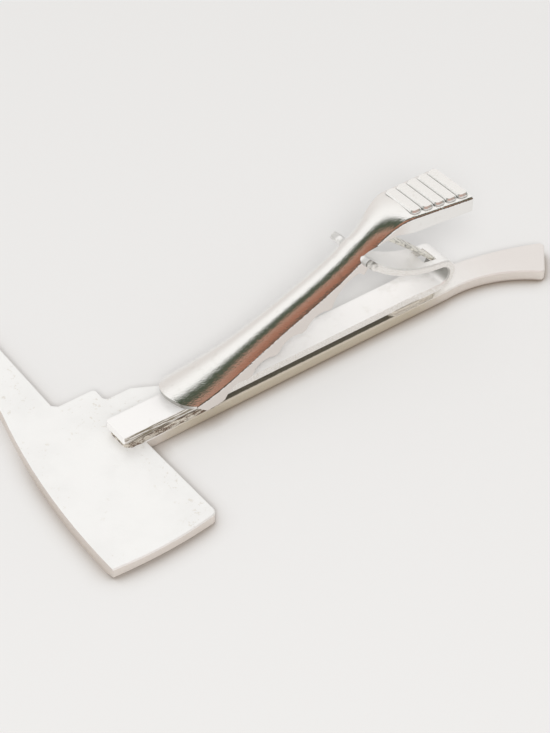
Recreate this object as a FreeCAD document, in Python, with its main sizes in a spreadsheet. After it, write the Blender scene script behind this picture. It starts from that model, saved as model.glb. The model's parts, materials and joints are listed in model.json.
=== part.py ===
import FreeCAD, Part
import os
import re
import Sketcher

# A tie clip: a cast axe-shaped plate, face down, with a sprung toothed clip soldered to its back.
# The frame's origin is on the plate's front face, under the middle of the strip's front end.
# X runs along the handle from the head to the tail, Y points to the pick's side, and Z points up.

# Driving dimensions, in millimetres and degrees
driving = {
    "overrun": 1.0,
    "plate_thick": 1.5,
    "head_front": 10.0,
    "head_front_at_pick": 7.2,
    "head_bow": 0.9,
    "blade_back": 2.55,
    "blade_reach": 14.7,
    "heel_lift": 0.3,
    "edge_bow": 0.5,
    "edge_bevel_wide": 1.7,
    "edge_bevel_deep": 0.6,
    "heel_round": 0.9,
    "pick_start": 10.5,
    "pick_reach": 25.0,
    "pick_low": 2.4,
    "pick_tip_low": 1.9,
    "pick_tip_wide": 0.9,
    "pick_bow": 0.55,
    "lug_reach": 8.05,
    "lug_front": 1.9,
    "lug_back": 2.6,
    "bump_reach": 5.95,
    "bump_back": 5.7,
    "flare_end": 13.2,
    "handle_wide": 3.7,
    "handle_bend": 43.0,
    "tail_near_along": 54.0,
    "tail_near_across": 5.8,
    "tail_far_along": 57.6,
    "tail_far_across": 1.7,
    "tail_near_bow": 1.15,
    "tail_far_bow": 0.75,
    "corner_round": 0.5,
    "front_round": 0.45,
    "back_bevel": 0.13,
    "solder_deep": 0.75,
    "solder_wide": 3.2,
    "solder_slope": 6.0,
    "front_solder_start": 0.3,
    "front_solder_end": 12.4,
    "rear_solder_start": 35.0,
    "rear_solder_end": 41.4,
    "strip_thick": 0.9,
    "strip_wide": 3.45,
    "strip_corner": 0.3,
    "strip_edge": 0.15,
    "arm_wide": 4.0,
    "flare_start": 38.0,
    "fold_along": 41.75,
    "fold_radius": 1.55,
    "arm_radius": 17.0,
    "arm_lift": 6.0,
    "arm_pitch": 48.0,
    "ear_turn": 5.5,
    "ear_near": 2.2,
    "ear_far": 3.9,
    "slot_to_fold": 0.15,
    "slot_long": 1.8,
    "slot_wide": 2.3,
    "tongue_thick": 0.4,
    "tongue_wide": 1.9,
    "tongue_tip_behind": 2.5,
    "tongue_tip_above": 1.81,
    "tongue_bow": 0.12,
    "jaw_sheet": 0.4,
    "jaw_nose": 6.4,
    "jaw_nose_lift": 1.05,
    "jaw_offset": 0.45,
    "jaw_nose_wide": 5.8,
    "jaw_neck_wide": 4.0,
    "jaw_crown": 1.2,
    "jaw_soft": 0.35,
    "crown_above_hinge": 1.25,
    "nose_setback": 2.1,
    "mouth_gap": 0.1,
    "hinge_clear": 0.05,
    "tooth_first_along": 11.8,
    "tooth_first_drop": 0.9,
    "tooth_last_behind": 4.3,
    "tooth_last_below": 4.4,
    "tooth_sag": 0.2,
    "scallop_radius": 2.3,
    "scallop_deep": 0.75,
    "scallop_lean": 0.5,
    "last_rise_behind": 2.6,
    "last_rise_below": 2.1,
    "hook_reach": 1.35,
    "hook_deep": 0.6,
    "hook_web": 0.9,
    "wall_deep": 4.8,
    "neck_edge_behind": 3.85,
    "neck_edge_above": 1.83,
    "pad_behind": 5.4,
    "pad_long": 8.2,
    "pad_wide": 5.8,
    "pad_back_wide": 6.8,
    "pad_rise": 2.45,
    "pad_drop": 0.5,
    "pad_crown": 0.2,
    "pad_lip": 1.95,
    "ridge_high": 0.25,
    "ridge_wide": 1.42,
    "ridge_bevel": 0.18,
    "ridge_lip": 0.5,
    "ridge_round": 0.5,
    "ridge_margin": 0.45,
}

# Sizes that follow from the driving ones
derived = {
    "strip_low": "plate_thick + solder_deep",
    "strip_top": "strip_low + strip_thick",
    "fold_high": "strip_low + strip_thick / 2 + fold_radius",
    "fold_outer": "fold_radius + strip_thick / 2",
    "fold_inner": "fold_radius - strip_thick / 2",
    "arm_center_along": "fold_along + (fold_radius + arm_radius) * sin(arm_lift)",
    "arm_center_high": "fold_high + (fold_radius + arm_radius) * cos(arm_lift)",
    "arm_middle": "(arm_lift + arm_pitch) / 2",
    "hinge_along": "arm_center_along - arm_radius * sin(arm_pitch)",
    "hinge_high": "arm_center_high - arm_radius * cos(arm_pitch)",
    "slot_end": "fold_along - slot_to_fold",
    "slot_start": "slot_end - slot_long",
    "notch_radius": "strip_thick / 2 + hinge_clear",
    "hinge_crown": "hinge_high + crown_above_hinge",
    "nose_crown": "strip_top + jaw_nose_lift",
    "pad_front": "hinge_along + pad_behind",
    "pad_high": "hinge_crown + pad_rise",
    "pad_back": "pad_front + pad_long",
}

doc = FreeCAD.newDocument("TieClip")
sheet = doc.addObject("Spreadsheet::Sheet", "Sizes")
for row, (name, size) in enumerate(driving.items(), start=1):
    sheet.set("A%d" % row, name)
    sheet.set("B%d" % row, str(size))
    sheet.setAlias("B%d" % row, name)
doc.recompute()

WORD = re.compile(r"[a-z][a-z_]*")

# Two places nearer than this are the same place.
SAME_PLACE = 0.001


def formula(text):
    """Write a sum of named sizes as an expression on the sheet's cells."""
    text = str(text)
    while any(word in derived for word in WORD.findall(text)):
        text = WORD.sub(lambda word: "(%s)" % derived.get(word.group(), word.group()), text)
        text = re.sub(r"\((sin|cos|sqrt)\)", r"\1", text)
    return WORD.sub(lambda word: ("Sizes." if word.group() in driving else "") + word.group(), text)


def number(text):
    """Give the present value of a sum of named sizes."""
    return float(sheet.evalExpression(formula(text)))


class Drawing:
    """A sketch on one of its body's origin planes, with every corner held by an expression."""

    def __init__(self, body, name, plane, offset="0"):
        self.sketch = body.newObject("Sketcher::SketchObject", name)
        support = [feature for feature in body.Origin.OriginFeatures if feature.Role == plane]
        self.sketch.AttachmentSupport = (support[0], [""])
        self.sketch.MapMode = "FlatFace"
        self.sketch.setExpression("AttachmentOffset.Base.z", formula(offset))

    def hold(self, edge, end, corner):
        """Hold one end of an edge at a corner."""
        for kind, text in zip(("DistanceX", "DistanceY"), corner):
            place = self.sketch.addConstraint(Sketcher.Constraint(kind, edge, end, number(text)))
            self.sketch.setExpression("Constraints[%d]" % place, formula(text))

    def loop(self, corners, bows=None):
        """Draw a closed outline. A side with a bow is the arc that passes through it."""
        bows = bows or {}
        places = [FreeCAD.Vector(number(x), number(y), 0) for x, y in corners]
        ends = []
        for side, start in enumerate(places):
            stop = places[(side + 1) % len(places)]
            if side in bows:
                through = FreeCAD.Vector(number(bows[side][0]), number(bows[side][1]), 0)
                edge = self.sketch.addGeometry(Part.Arc(start, through, stop))
                first = 1 if self.sketch.getPoint(edge, 1).distanceToPoint(start) < \
                    self.sketch.getPoint(edge, 2).distanceToPoint(start) else 2
                mark = self.sketch.addGeometry(Part.Point(through), True)
                self.hold(mark, 1, bows[side])
                self.sketch.addConstraint(Sketcher.Constraint("PointOnObject", mark, 1, edge))
            else:
                edge = self.sketch.addGeometry(Part.LineSegment(start, stop))
                first = 1
            ends.append((edge, first, 3 - first))
        for side, (edge, first, last) in enumerate(ends):
            follower = ends[(side + 1) % len(ends)]
            self.sketch.addConstraint(Sketcher.Constraint("Coincident", edge, last, follower[0], follower[1]))
            self.hold(edge, first, corners[side])
        return self

    def circle(self, center, radius):
        """Draw a circle."""
        middle = FreeCAD.Vector(number(center[0]), number(center[1]), 0)
        edge = self.sketch.addGeometry(Part.Circle(middle, FreeCAD.Vector(0, 0, 1), number(radius)))
        self.hold(edge, 3, center)
        place = self.sketch.addConstraint(Sketcher.Constraint("Radius", edge, number(radius)))
        self.sketch.setExpression("Constraints[%d]" % place, formula(radius))
        return self


def new_body(label):
    """Start a piece."""
    body = doc.addObject("PartDesign::Body", label)
    body.Label = label
    return body


def extrude(body, kind, name, drawing, length, both_ways=False, backwards=False):
    """Pad or pocket a drawing, and make sure that the solid changed."""
    before = body.Shape.Volume if body.Tip else 0
    feature = body.newObject("PartDesign::" + kind, name)
    feature.Profile = drawing.sketch
    feature.setExpression("Length", formula(length))
    if both_ways:
        feature.SideType = "Symmetric"
    feature.Reversed = backwards
    doc.recompute()
    if abs(body.Shape.Volume - before) < SAME_PLACE ** 2:
        raise RuntimeError("%s leaves the solid as it was" % name)


def soften(body, kind, name, size, wanted):
    """Round or bevel the edges that a test picks."""
    base = body.Tip
    picked = ["Edge%d" % place for place, edge in enumerate(base.Shape.Edges, start=1) if wanted(edge)]
    if not picked:
        raise RuntimeError("%s finds no edge" % name)
    feature = body.newObject("PartDesign::" + kind, name)
    feature.Base = (base, picked)
    feature.setExpression({"Fillet": "Radius", "Chamfer": "Size"}[kind], formula(size))
    doc.recompute()


def upright(edge, places):
    """Tell whether an edge stands along Z at one of the given corners."""
    box = edge.BoundBox
    if box.XLength > SAME_PLACE or box.YLength > SAME_PLACE:
        return False
    return any(abs(box.XMin - number(x)) + abs(box.YMin - number(y)) < SAME_PLACE for x, y in places)


def touches(edge, corner):
    """Tell whether an edge ends over a corner of the plan."""
    ends = [vertex.Point for vertex in edge.Vertexes]
    return any(abs(end.x - number(corner[0])) + abs(end.y - number(corner[1])) < SAME_PLACE for end in ends)


def lies_at(edge, high):
    """Tell whether an edge lies flat at a height."""
    box = edge.BoundBox
    return abs(box.ZMin - number(high)) < SAME_PLACE and abs(box.ZMax - number(high)) < SAME_PLACE


def joins(edge, places):
    """Tell whether an edge runs lengthwise between two of the given places."""
    ends = [vertex.Point for vertex in edge.Vertexes]
    if edge.BoundBox.XLength < SAME_PLACE:
        return False
    return all(any(end.distanceToPoint(place) < SAME_PLACE for place in places) for end in ends)


# Axe plate
# The outline goes round from the toe, along the cutting edge, the handle and the tail, and back by the pick.
axe = new_body("axe_plate")
toe = ("-head_front", "-blade_reach")
heel = ("blade_back", "heel_lift - blade_reach")
tail_near = ("tail_near_along", "-tail_near_across")
tail_far = ("tail_far_along", "-tail_far_across")
front_corner = ("-head_front_at_pick", "pick_start")
lug_corner = ("lug_back", "lug_reach")
bump_corner = ("bump_back", "bump_reach")
outline = [
    toe,
    heel,
    ("blade_back", "-handle_wide / 2"),
    ("handle_bend", "-handle_wide / 2"),
    tail_near,
    tail_far,
    ("handle_bend", "handle_wide / 2"),
    ("flare_end", "handle_wide / 2"),
    bump_corner,
    ("lug_back", "bump_reach"),
    lug_corner,
    ("-lug_front", "lug_reach"),
    ("-pick_low", "lug_reach + corner_round"),
    ("-pick_tip_low", "pick_reach"),
    ("-pick_tip_low - pick_tip_wide", "pick_reach"),
    front_corner,
]
bows = {
    0: ("(blade_back - head_front) / 2", "heel_lift / 2 - blade_reach - edge_bow"),
    3: ("(handle_bend + tail_near_along) / 2 + tail_near_bow / 2",
        "-(handle_wide / 2 + tail_near_across) / 2 + tail_near_bow"),
    5: ("(handle_bend + tail_far_along) / 2", "(handle_wide / 2 - tail_far_across) / 2 + tail_far_bow"),
    14: ("-(head_front_at_pick + pick_tip_low + pick_tip_wide) / 2 - pick_bow",
         "(pick_start + pick_reach) / 2"),
    15: ("-(head_front_at_pick + head_front) / 2 - head_bow", "(pick_start - blade_reach) / 2"),
}
extrude(axe, "Pad", "AxePad", Drawing(axe, "AxeOutline", "XY_Plane").loop(outline, bows), "plate_thick")
soften(axe, "Fillet", "HeelRound", "heel_round", lambda edge: upright(edge, [heel]))
soft_corners = [tail_near, tail_far, lug_corner, bump_corner, ("lug_back", "bump_reach")]
soften(axe, "Fillet", "CornerRounds", "corner_round", lambda edge: upright(edge, soft_corners))

# The unseen front is ground to a flat bevel along the cutting edge.
bevel_foot = "blade_reach + edge_bow"
bevel = Drawing(axe, "EdgeBevel", "YZ_Plane").loop([
    ("edge_bevel_wide - (%s)" % bevel_foot, "0"),
    ("-edge_bevel_wide - (%s)" % bevel_foot, "0"),
    ("-edge_bevel_wide - (%s)" % bevel_foot, "2 * edge_bevel_deep"),
])
extrude(axe, "Pocket", "BevelCut", bevel, "2 * (head_front + overrun)", both_ways=True)

# The handle's front is rounded, and the back is beveled all round but for the crisp edge of the head's front.
soften(axe, "Fillet", "HandleRounds", "front_round",
       lambda edge: lies_at(edge, "0") and edge.CenterOfMass.x > number("flare_end"))
soften(axe, "Chamfer", "BackBevels", "back_bevel",
       lambda edge: lies_at(edge, "plate_thick") and not touches(edge, front_corner))

# Solder beds
# Each bed joins the plate's back to the strip, and spreads a little where it meets the plate.
for label, start, end in (
    ("front_solder_bed", "front_solder_start", "front_solder_end"),
    ("rear_solder_bed", "rear_solder_start", "rear_solder_end"),
):
    bed = new_body(label)
    corners = [
        (start, "-solder_wide / 2"),
        (end, "-solder_wide / 2"),
        (end, "solder_wide / 2"),
        (start, "solder_wide / 2"),
    ]
    drawing = Drawing(bed, label + "_outline", "XY_Plane", "strip_low").loop(corners)
    extrude(bed, "Pad", label + "_pad", drawing, "solder_deep", backwards=True)
    bed.Tip.setExpression("TaperAngle", formula("solder_slope"))

# Clip strip
# One bent strip: the flat base, the fold, and the arm that curves up to the hinge and ends half round.
strip = new_body("clip_strip")


def on_arm(radius, slope):
    """Give the point of the arm at a distance from its curve's center, where it has the given slope."""
    return (
        "arm_center_along - (%s) * sin(%s)" % (radius, slope),
        "arm_center_high - (%s) * cos(%s)" % (radius, slope),
    )


def on_fold(radius, turn):
    """Give the point of the fold at a distance from its center, turned from the top towards the rear."""
    return "fold_along + (%s) * sin(%s)" % (radius, turn), "fold_high + (%s) * cos(%s)" % (radius, turn)


arm_top = "arm_radius - strip_thick / 2"
arm_under = "arm_radius + strip_thick / 2"
fold_middle = "90 + arm_lift / 2"
profile = [
    ("0", "strip_low"),
    ("fold_along", "strip_low"),
    on_fold("fold_outer", "arm_lift"),
    on_arm(arm_top, "arm_pitch"),
    on_arm(arm_under, "arm_pitch"),
    on_fold("fold_inner", "arm_lift"),
    ("fold_along", "strip_top"),
    ("0", "strip_top"),
]
strip_bows = {
    1: on_fold("fold_outer", fold_middle),
    2: on_arm(arm_top, "arm_middle"),
    3: ("hinge_along - strip_thick / 2 * cos(arm_pitch)", "hinge_high + strip_thick / 2 * sin(arm_pitch)"),
    4: on_arm(arm_under, "arm_middle"),
    5: on_fold("fold_inner", fold_middle),
}
side_view = Drawing(strip, "StripProfile", "XZ_Plane").loop(profile, strip_bows)
extrude(strip, "Pad", "StripPad", side_view, "arm_wide", both_ways=True)
soften(strip, "Chamfer", "StripEdges", "strip_edge", lambda edge: edge.BoundBox.YLength < SAME_PLACE)

# Two ears at the arm's end stick out past the jaw's walls, the far one further.
ear_slope = "arm_pitch - ear_turn"
ears = Drawing(strip, "Ears", "XZ_Plane", "-ear_far").loop(
    [
        on_arm(arm_top, ear_slope),
        on_arm(arm_top, "arm_pitch"),
        on_arm(arm_under, "arm_pitch"),
        on_arm(arm_under, ear_slope),
    ],
    {
        0: on_arm(arm_top, "arm_pitch - ear_turn / 2"),
        1: strip_bows[3],
        2: on_arm(arm_under, "arm_pitch - ear_turn / 2"),
    },
)
extrude(strip, "Pad", "EarPad", ears, "ear_near + ear_far")

# The base is narrower than the fold, and flares out to meet it.
waist = Drawing(strip, "StripWaist", "XY_Plane")
for sign in ("-", ""):
    waist.loop([
        ("-overrun", sign + "strip_wide / 2"),
        ("flare_start", sign + "strip_wide / 2"),
        ("fold_along", sign + "arm_wide / 2"),
        ("fold_along", sign + "arm_wide"),
        ("-overrun", sign + "arm_wide"),
    ])
extrude(strip, "Pocket", "WaistCut", waist, "fold_high", backwards=True)

# A slot in the arm by the fold takes the foot of the spring tongue.
slot = Drawing(strip, "ArmSlot", "XY_Plane", "fold_high").loop([
    ("slot_start", "-slot_wide / 2"),
    ("slot_end", "-slot_wide / 2"),
    ("slot_end", "slot_wide / 2"),
    ("slot_start", "slot_wide / 2"),
])
extrude(strip, "Pocket", "SlotCut", slot, "hinge_high - fold_high", backwards=True)
front_corners = [("0", "strip_wide / 2"), ("0", "-strip_wide / 2")]
soften(strip, "Fillet", "StripCorners", "strip_corner", lambda edge: upright(edge, front_corners))

# Spring tongue
# It starts at the rear end of the slot and rises to the underside of the jaw's neck.
tongue = new_body("spring_tongue")
root_high = "arm_center_high - sqrt(arm_radius * arm_radius - (slot_end - arm_center_along)" \
    " * (slot_end - arm_center_along))"
tip_along = "hinge_along + tongue_tip_behind"
tip_high = "hinge_high + tongue_tip_above"
middle = (
    "(slot_end + %s) / 2 + tongue_bow" % tip_along,
    "(%s + %s) / 2 + tongue_bow" % (root_high, tip_high),
)
leaf = [
    ("slot_end", root_high + " - tongue_thick / 2"),
    ("slot_end", root_high + " + tongue_thick / 2"),
    (tip_along, tip_high),
    (tip_along, tip_high + " - tongue_thick"),
]
leaf_bows = {
    1: middle,
    3: (middle[0] + " - tongue_thick / 2", middle[1] + " - tongue_thick"),
}
leaf_view = Drawing(tongue, "TongueProfile", "XZ_Plane").loop(leaf, leaf_bows)
extrude(tongue, "Pad", "TonguePad", leaf_view, "tongue_wide", both_ways=True)

# Jaw
# A pressed channel: its crown is an arch over two upright walls, widest at the nose, narrow at the hinge,
# and opened out flat behind it as the thumb pad.
jaw = new_body("jaw")
lever_along_shares = (0.0, 0.187, 0.37, 0.634, 0.837, 1.0)
lever_rise_shares = (0.0, 0.09, 0.234, 0.51, 0.745, 1.0)
lever_width_shares = (1.0, 0.95, 0.45, 0.08, 0.0, 0.0)
lever_crown_shares = (0.9, 0.98, 1.02, 1.02, 1.0, 0.92)
neck_along_shares = (0.45, 0.81, 1.12)
neck_rise_shares = (0.57, 0.95, 1.0)
neck_width_shares = (0.12, 0.66, 1.0)
neck_crown_shares = (0.72, 0.28, 0.0)
sections = []
for along, rise, wide, crown in zip(
    lever_along_shares, lever_rise_shares, lever_width_shares, lever_crown_shares
):
    sections.append((
        "jaw_nose + %s * (hinge_along - jaw_nose)" % along,
        "nose_crown + %s * (hinge_crown - nose_crown)" % rise,
        "(jaw_neck_wide + %s * (jaw_nose_wide - jaw_neck_wide)) / 2" % wide,
        "jaw_crown * %s" % crown,
    ))
for along, rise, wide, crown in zip(
    neck_along_shares, neck_rise_shares, neck_width_shares, neck_crown_shares
):
    sections.append((
        "hinge_along + %s * pad_behind" % along,
        "hinge_crown + %s * pad_rise" % rise,
        "(jaw_neck_wide + %s * (pad_wide - jaw_neck_wide)) / 2" % wide,
        "pad_crown + %s * (jaw_crown - pad_crown)" % crown,
    ))
sections.append(("pad_back", "pad_high - pad_drop", "pad_back_wide / 2", "pad_crown"))

outer_views = []
inner_views = []
for place, (along, high, half, crown) in enumerate(sections):
    outer_views.append(Drawing(jaw, "JawOutside%d" % place, "YZ_Plane", along).loop(
        [
            ("jaw_offset - (%s)" % half, "%s - wall_deep" % high),
            ("jaw_offset + (%s)" % half, "%s - wall_deep" % high),
            ("jaw_offset + (%s)" % half, "%s - (%s)" % (high, crown)),
            ("jaw_offset - (%s)" % half, "%s - (%s)" % (high, crown)),
        ],
        {2: ("jaw_offset", high)},
    ))
    arch = "((%s) * (%s) + (%s) * (%s)) / (2 * (%s)) - jaw_sheet" % (half, half, crown, crown, crown)
    inside = "(%s) - jaw_sheet" % half
    inner_crown = "(%s) - sqrt((%s) * (%s) - (%s) * (%s))" % (arch, arch, arch, inside, inside)
    inner_views.append(Drawing(jaw, "JawInside%d" % place, "YZ_Plane", along).loop(
        [
            ("jaw_offset - (%s)" % inside, "%s - wall_deep - overrun" % high),
            ("jaw_offset + (%s)" % inside, "%s - wall_deep - overrun" % high),
            ("jaw_offset + (%s)" % inside, "%s - jaw_sheet - (%s)" % (high, inner_crown)),
            ("jaw_offset - (%s)" % inside, "%s - jaw_sheet - (%s)" % (high, inner_crown)),
        ],
        {2: ("jaw_offset", "%s - jaw_sheet" % high)},
    ))
doc.recompute()
lever_last = len(lever_along_shares) - 1
neck_last = lever_last + len(neck_along_shares)
runs = (("Lever", 0, lever_last), ("Neck", lever_last, neck_last), ("Pad", neck_last, len(sections) - 1))
for run, first, last in runs:
    loft = jaw.newObject("PartDesign::AdditiveLoft", run + "Shell")
    loft.Profile = outer_views[first].sketch
    loft.Sections = [view.sketch for view in outer_views[first + 1:last + 1]]
    doc.recompute()
arch_feet = []
for along, high, half, crown in (sections[0], sections[lever_last], sections[neck_last], sections[-1]):
    for side in ("jaw_offset - (%s)" % half, "jaw_offset + (%s)" % half):
        arch_feet.append(FreeCAD.Vector(number(along), number(side), number("%s - (%s)" % (high, crown))))
soften(jaw, "Fillet", "ArchCorners", "jaw_soft", lambda edge: joins(edge, arch_feet))
for run, first, last in runs:
    loft = jaw.newObject("PartDesign::SubtractiveLoft", run + "Hollow")
    loft.Profile = inner_views[first].sketch
    loft.Sections = [view.sketch for view in inner_views[first + 1:last + 1]]
    loft.Ruled = True
    doc.recompute()

# The walls' lower edge: teeth, the hook under the arm's end, the notch it turns in, and the pad's lip.
tooth_shares = (0.0, 0.25, 0.5, 0.75, 1.0)
tooth_last = ("hinge_along - tooth_last_behind", "hinge_high - tooth_last_below")
tooth_first = ("tooth_first_along", "strip_top - tooth_first_drop")
tips = [
    (
        "%s + %s * (%s - %s)" % (tooth_first[0], share, tooth_last[0], tooth_first[0]),
        "%s + %s * (%s - (%s)) - 4 * %s * (1 - %s) * tooth_sag"
        % (tooth_first[1], share, tooth_last[1], tooth_first[1], share, share),
    )
    for share in tooth_shares
]
mouth = "strip_top + mouth_gap"
hook_root = ("hinge_along - hook_deep", "hinge_high - notch_radius - hook_web")
hook_tip = (
    "hinge_along - notch_radius * sin(arm_pitch) + hook_reach * cos(arm_pitch)",
    "hinge_high - notch_radius * cos(arm_pitch) - hook_reach * sin(arm_pitch)",
)
edge_line = [
    ("jaw_nose - overrun", mouth),
    ("jaw_nose + nose_setback", mouth),
    ("(jaw_nose + nose_setback + tooth_first_along) / 2 - jaw_sheet", tooth_first[1]),
] + tips + [
    hook_root,
    ("%s - hook_deep" % hook_tip[0], "%s - hook_deep" % hook_tip[1]),
    hook_tip,
    ("hinge_along - notch_radius * sin(arm_pitch)", "hinge_high - notch_radius * cos(arm_pitch)"),
    ("hinge_along", "hinge_high + notch_radius"),
    ("hinge_along + neck_edge_behind", "hinge_high + neck_edge_above"),
    ("pad_front + jaw_sheet", "pad_high - pad_lip - jaw_sheet / 2"),
    ("pad_back + overrun", "pad_high - pad_drop - pad_lip"),
    ("pad_back + overrun", "-overrun"),
    ("jaw_nose - overrun", "-overrun"),
]
last_tip = edge_line.index(tips[-1])
notch_side = last_tip + 4
edge_bows = {
    last_tip: ("hinge_along - last_rise_behind", "hinge_high - last_rise_below"),
    notch_side: ("hinge_along - notch_radius * cos(arm_pitch / 2)",
                 "hinge_high + notch_radius * sin(arm_pitch / 2)"),
}
wall_view = Drawing(jaw, "WallEdge", "XZ_Plane").loop(edge_line, edge_bows)
extrude(jaw, "Pocket", "WallCut", wall_view, "pad_back_wide + 2 * overrun", both_ways=True)

scallops = Drawing(jaw, "Scallops", "XZ_Plane")
for near, far in zip(tips, tips[1:]):
    scallops.circle(
        ("(%s + %s) / 2 + scallop_lean" % (near[0], far[0]),
         "(%s + %s) / 2 - (scallop_radius - scallop_deep)" % (near[1], far[1])),
        "scallop_radius",
    )
extrude(jaw, "Pocket", "ScallopCut", scallops, "pad_back_wide + 2 * overrun", both_ways=True)

# The nose is rounded in plan.
nose_plan = Drawing(jaw, "NosePlan", "XY_Plane").loop(
    [
        ("jaw_nose + nose_setback", "jaw_offset - jaw_nose_wide / 2"),
        ("jaw_nose + nose_setback", "jaw_offset + jaw_nose_wide / 2"),
        ("jaw_nose + nose_setback", "jaw_nose_wide"),
        ("jaw_nose - overrun", "jaw_nose_wide"),
        ("jaw_nose - overrun", "-jaw_nose_wide"),
        ("jaw_nose + nose_setback", "-jaw_nose_wide"),
    ],
    {0: ("jaw_nose", "jaw_offset")},
)
extrude(jaw, "Pocket", "NoseCut", nose_plan, "hinge_high", backwards=True)

# Five broad ridges with round ends and beveled tops cross the thumb pad, inside a flat lip.
ridge_shares = (0.1, 0.3, 0.5, 0.7, 0.9)
arc_share = 0.293
ridges_start = "pad_front + ridge_margin"
half_long = "ridge_wide / 2"
ridge_tops = []
for place, share in enumerate(ridge_shares):
    middle = "%s + %s * (pad_back - (%s))" % (ridges_start, share, ridges_start)
    high = "pad_high - %s * pad_drop" % share
    low = "%s - jaw_sheet / 2 - pad_crown / 2" % high
    ridge_tops.append("%s + ridge_high" % high)
    half_wide = "((pad_wide + %s * (pad_back_wide - pad_wide)) / 2 - ridge_lip)" % share
    corners = []
    arcs = {}
    for along, across, turned in (("-", "-", False), ("+", "-", True), ("+", "+", False), ("-", "+", True)):
        side = "%s %s %s" % (middle, along, half_long)
        end = "jaw_offset %s %s" % (across, half_wide)
        inward = "-" if along == "+" else "+"
        back = "-" if across == "+" else "+"
        ends = [
            (side, "%s %s ridge_round" % (end, back)),
            ("%s %s ridge_round" % (side, inward), end),
        ]
        arcs[len(corners)] = (
            "%s %s %s * ridge_round" % (side, inward, arc_share),
            "%s %s %s * ridge_round" % (end, back, arc_share),
        )
        corners += reversed(ends) if turned else ends
    plan = Drawing(jaw, "Ridge%d" % place, "XY_Plane", low).loop(corners, arcs)
    extrude(jaw, "Pad", "RidgePad%d" % place, plan, "ridge_high + jaw_sheet / 2 + pad_crown / 2")
soften(jaw, "Chamfer", "RidgeTops", "ridge_bevel", lambda edge: any(lies_at(edge, top) for top in ridge_tops))

# Check and write
doc.recompute()
pieces = [piece for piece in doc.Objects if piece.TypeId == "PartDesign::Body"]
for item in doc.Objects:
    if "Invalid" in item.State or "Error" in item.State:
        raise RuntimeError("%s failed: %s" % (item.Name, item.State))
for piece in pieces:
    if piece.Shape.isNull() or not piece.Shape.isValid() or piece.Shape.Volume <= 0:
        raise RuntimeError("%s has no sound shape" % piece.Label)
os.makedirs("parts", exist_ok=True)
for piece in pieces:
    piece.Shape.exportStep("parts/%s.step" % piece.Label)
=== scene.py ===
"""Looks of a tie clip: an axe-shaped casting with a sprung, toothed clip soldered to its back."""
import json
import math

import bmesh
import bpy
from mathutils import Matrix, Vector, noise


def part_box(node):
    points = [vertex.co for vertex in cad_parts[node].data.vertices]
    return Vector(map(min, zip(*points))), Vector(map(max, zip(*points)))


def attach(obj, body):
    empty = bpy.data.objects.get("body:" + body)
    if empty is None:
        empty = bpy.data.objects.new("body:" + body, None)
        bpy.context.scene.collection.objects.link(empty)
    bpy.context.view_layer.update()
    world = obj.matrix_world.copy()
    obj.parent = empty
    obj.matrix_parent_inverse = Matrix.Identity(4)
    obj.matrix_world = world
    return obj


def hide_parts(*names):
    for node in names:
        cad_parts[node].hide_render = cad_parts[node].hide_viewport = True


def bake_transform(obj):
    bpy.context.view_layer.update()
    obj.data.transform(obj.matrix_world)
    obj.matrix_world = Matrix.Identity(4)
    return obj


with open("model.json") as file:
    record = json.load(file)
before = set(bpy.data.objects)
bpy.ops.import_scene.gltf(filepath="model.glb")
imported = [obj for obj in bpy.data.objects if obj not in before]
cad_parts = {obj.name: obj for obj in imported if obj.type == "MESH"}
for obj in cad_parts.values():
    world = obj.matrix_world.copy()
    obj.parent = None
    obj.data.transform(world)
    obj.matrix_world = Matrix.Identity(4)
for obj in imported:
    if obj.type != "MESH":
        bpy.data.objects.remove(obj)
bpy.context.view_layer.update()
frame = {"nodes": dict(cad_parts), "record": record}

bl_info = {
    "name": "Tie clip",
    "version": (1, 0, 0),
    "blender": (4, 5, 0),
    "location": "3D View > Sidebar > Tie clip",
    "description": "Dresses the packed tie clip and sets its stage",
    "category": "Object",
}

MILLIMETRE = 0.001
SHORTEST = 0.01 * MILLIMETRE
IMAGE_WIDTH = 550
SENSOR_WIDTH = 36.0
NEAREST_SEEN = 0.01
NOISE_MIDDLE = 0.5


# Node trees
class Socket:
    """An output of a node. A sum on sockets adds its Math nodes."""

    def __init__(self, kit, socket):
        self.kit = kit
        self.socket = socket

    def sum(self, operation, first, second):
        return self.kit.node("ShaderNodeMath", {"operation": operation}, {0: first, 1: second})

    def __add__(self, other):
        return self.sum("ADD", self, other)

    def __radd__(self, other):
        return self.sum("ADD", other, self)

    def __sub__(self, other):
        return self.sum("SUBTRACT", self, other)

    def __rsub__(self, other):
        return self.sum("SUBTRACT", other, self)

    def __neg__(self):
        return self.sum("SUBTRACT", 0.0, self)

    def __mul__(self, other):
        return self.sum("MULTIPLY", self, other)

    def __rmul__(self, other):
        return self.sum("MULTIPLY", other, self)

    def __abs__(self):
        return self.sum("ABSOLUTE", self, 0.0)

    def ramp(self, low, high):
        """Rise smoothly from 0 at low to 1 at high."""
        return self.kit.node(
            "ShaderNodeMapRange",
            {"interpolation_type": "SMOOTHSTEP"},
            {"Value": self, "From Min": low, "From Max": high},
        )


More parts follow.
